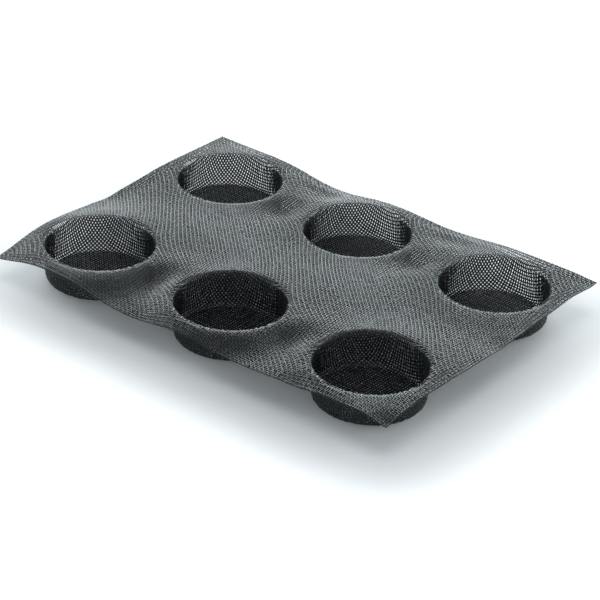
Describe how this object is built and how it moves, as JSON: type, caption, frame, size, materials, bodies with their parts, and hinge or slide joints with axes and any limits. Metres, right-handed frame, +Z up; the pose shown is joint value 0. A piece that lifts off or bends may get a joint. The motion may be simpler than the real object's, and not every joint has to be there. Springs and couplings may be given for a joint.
{
  "type": "silicone baking mould",
  "caption": "Thin rectangular sheet of silicone-coated woven mesh pressed with round flat-bottomed cups that hold dough while it bakes.",
  "frame": {"origin": "on the table, under the middle of the sheet", "axes": "+X along the sheet's long side, +Y across it towards the back row of cups, +Z up out of the cups"},
  "size_m": [0.4, 0.29, 0.0313],
  "materials": {
    "coated_mesh": "satin black silicone over woven glass mesh"
  },
  "bodies": {
    "root": {"mould": "coated_mesh"}
  },
  "joints": []
}
